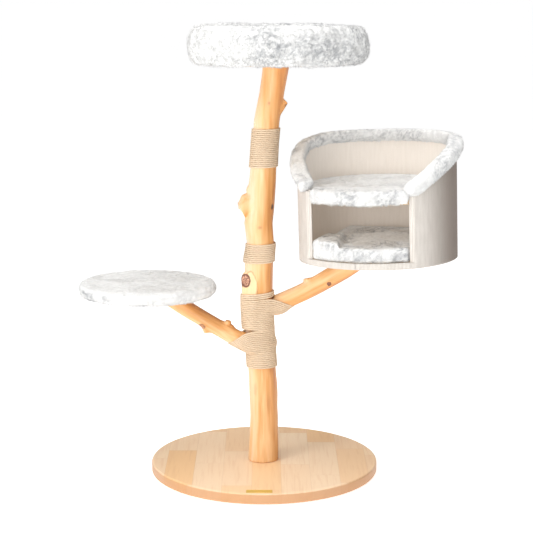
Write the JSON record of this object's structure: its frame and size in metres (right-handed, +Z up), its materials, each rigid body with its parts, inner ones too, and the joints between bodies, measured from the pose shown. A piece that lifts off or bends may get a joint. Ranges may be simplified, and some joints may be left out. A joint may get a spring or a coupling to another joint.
{
  "type": "cat tree",
  "caption": "Cat tree: a natural forked log on a round board carries a low plush perch, a two-level open cubby and a round bolster bed on top.",
  "frame": {"origin": "centre of the underside of the non-slip pads, where the object stands on the floor", "axes": "+Z up, -Y towards the front (the brass plate and the cubby's opening), +X towards the cubby"},
  "size_m": [0.9951, 0.6, 1.175],
  "materials": {
    "base_wood": "satin lacquer on edge-glued staves",
    "plaque_brass": "brushed",
    "foot_rubber": "matte",
    "steel": "zinc plated",
    "dowel_wood": "bare",
    "natural_wood": "peeled and lacquered",
    "rope": "twisted natural fibre",
    "plywood": "bare",
    "foam": "soft foam",
    "plush": "long-pile plush",
    "ribbed_fabric": "fine ribbed"
  },
  "bodies": {
    "tree": {"base_board": "base_wood", "base_plaque": "plaque_brass", "base_feet": "foot_rubber", "trunk_bolt": "steel", "trunk_washer": "steel", "trunk_dowels": "dowel_wood", "trunk_log": "natural_wood", "left_branch": "natural_wood", "right_branch": "natural_wood", "left_branch_bolt": "steel", "right_branch_bolt": "steel", "rope_wrap_top": "rope", "rope_wrap_middle": "rope", "rope_wrap_main": "rope", "rope_lash_left": "rope", "rope_lash_right": "rope", "perch_board": "plywood", "perch_foam": "foam", "perch_cover": "plush", "perch_screws": "steel", "bed_board": "plywood", "bed_bolster": "plush", "bed_screws": "steel", "cubby_wall_core": "plywood", "cubby_lining": "ribbed_fabric", "cubby_rim_trim": "plush", "cubby_floor_board": "plywood", "cubby_deck_board": "plywood", "cubby_outer_cover": "ribbed_fabric", "cubby_deck_cleats": "dowel_wood", "cubby_floor_screws": "steel", "cubby_deck_screws": "steel"},
    "cabin_mat": {"cabin_mat": "plush"},
    "seat_pad": {"seat_pad": "plush"},
    "bed_cushion": {"bed_cushion": "plush"}
  },
  "joints": [
    {"name": "cabin_mat_slide", "type": "slide", "parent": "tree", "child": "cabin_mat", "axis": [-0.3582, -0.9336, -0.0113], "range_m": [0, 0.36]},
    {"name": "seat_pad_lift", "type": "slide", "parent": "tree", "child": "seat_pad", "axis": [-0.0314, 0, 0.9995], "range_m": [0, 0.17]},
    {"name": "bed_cushion_lift", "type": "slide", "parent": "tree", "child": "bed_cushion", "axis": [0, 0, 1], "range_m": [0, 0.1]}
  ]
}
